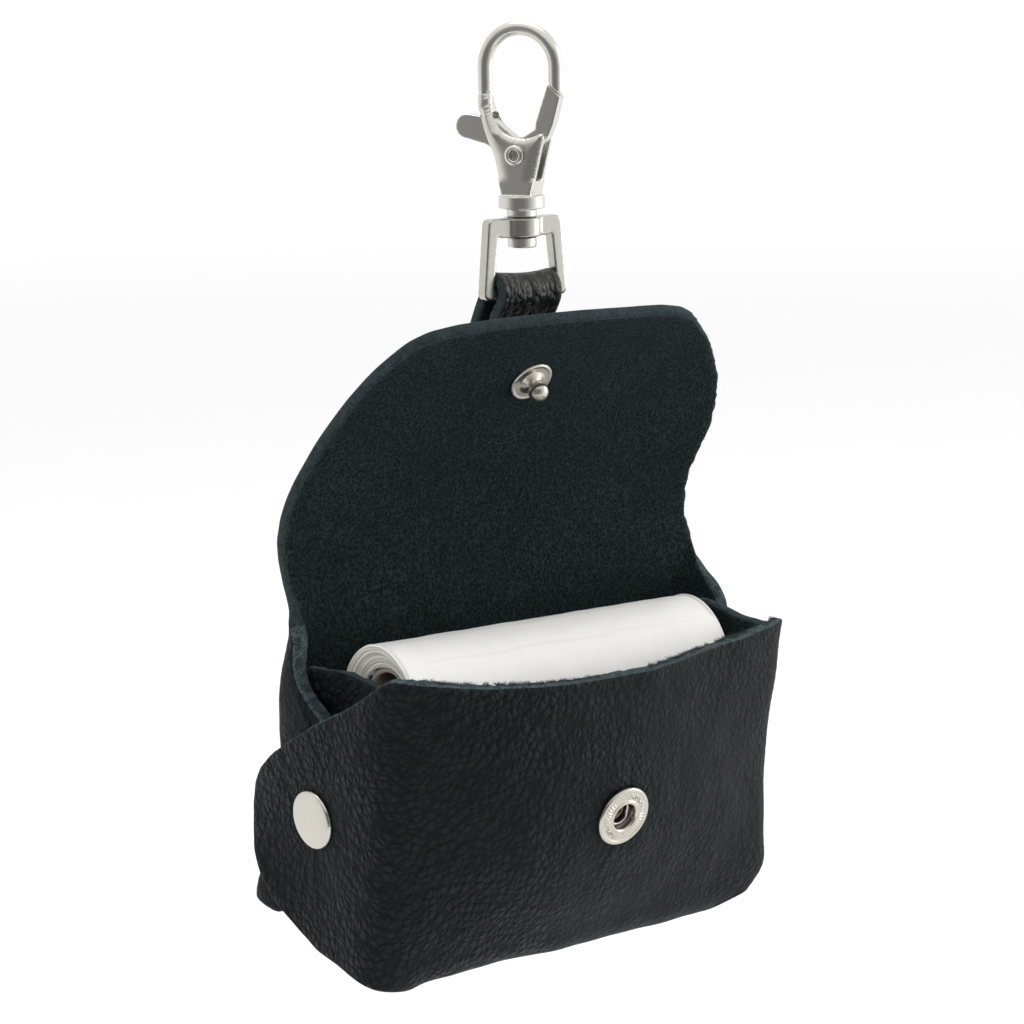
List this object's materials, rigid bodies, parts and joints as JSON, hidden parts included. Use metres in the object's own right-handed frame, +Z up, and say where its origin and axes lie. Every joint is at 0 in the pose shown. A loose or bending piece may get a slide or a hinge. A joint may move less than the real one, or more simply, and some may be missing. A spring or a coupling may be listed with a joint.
{
  "type": "dog poop bag dispenser",
  "caption": "Black leather pouch with an open press-stud flap, holding a roll of dog waste bags and hanging by a riveted strap from a swivel trigger hook",
  "frame": {"origin": "The inside top of the trigger hook's bow, where the loop it hangs from bears, on the swivel's axis.", "axes": "+Z is straight up along the swivel's axis, +Y points from the pouch's front to its back, +X to the right of someone facing the pouch's front."},
  "size_m": [0.0824, 0.0481, 0.1451],
  "materials": {
    "nickel": "polished",
    "spring_steel": "satin",
    "black_leather": "satin",
    "white_film": "satin",
    "grey_card": "matte"
  },
  "bodies": {
    "hook": {"hook_body": "nickel", "gate_pin": "nickel", "gate_spring": "spring_steel"},
    "gate": {"hook_gate": "nickel"},
    "eye": {"swivel_eye": "nickel"},
    "pouch": {"hanging_strap": "black_leather", "strap_rivet_cap": "nickel", "strap_rivet_post": "nickel", "pouch_back": "black_leather", "pouch_bottom": "black_leather", "pouch_front": "black_leather", "front_ear_left": "black_leather", "front_ear_right": "black_leather", "back_ear_left": "black_leather", "back_ear_right": "black_leather", "side_gusset_left": "black_leather", "side_gusset_right": "black_leather", "side_rivet_cap_left": "nickel", "side_rivet_cap_right": "nickel", "side_rivet_post_left": "nickel", "side_rivet_post_right": "nickel", "snap_socket": "nickel", "socket_spring": "spring_steel", "socket_eyelet": "nickel"},
    "flap": {"flap": "black_leather", "snap_stud": "nickel", "stud_cap": "nickel"},
    "core": {"roll_core": "grey_card"},
    "roll": {"bag_roll": "white_film"}
  },
  "joints": [
    {"name": "gate_pivot", "type": "hinge", "parent": "hook", "child": "gate", "pos_m": [0, 0, -0.0181], "axis": [-0.848, -0.5299, 0], "range_deg": [0, 28], "stiffness_Nm_per_rad": 0.03, "springref_deg": -22.92, "deforming": ["gate_spring"]},
    {"name": "swivel", "type": "hinge", "parent": "hook", "child": "eye", "pos_m": [0, 0, -0.0293], "axis": [0, 0, 1], "continuous": true},
    {"name": "strap_swing", "type": "hinge", "parent": "eye", "child": "pouch", "pos_m": [0, 0, -0.03923], "axis": [1, 0, 0], "range_deg": [-75, 75]},
    {"name": "flap_hinge", "type": "hinge", "parent": "pouch", "child": "flap", "pos_m": [0, 0.00978, -0.08775], "axis": [1, 0, 0], "range_deg": [0, 80]},
    {"name": "roll_lift", "type": "slide", "parent": "pouch", "child": "core", "axis": [0, -0.1977, 0.9803], "range_m": [-0.024, 0.036]},
    {"name": "roll_spin", "type": "hinge", "parent": "core", "child": "roll", "pos_m": [0, -0.00407, -0.10151], "axis": [1, 0, 0], "continuous": true}
  ]
}
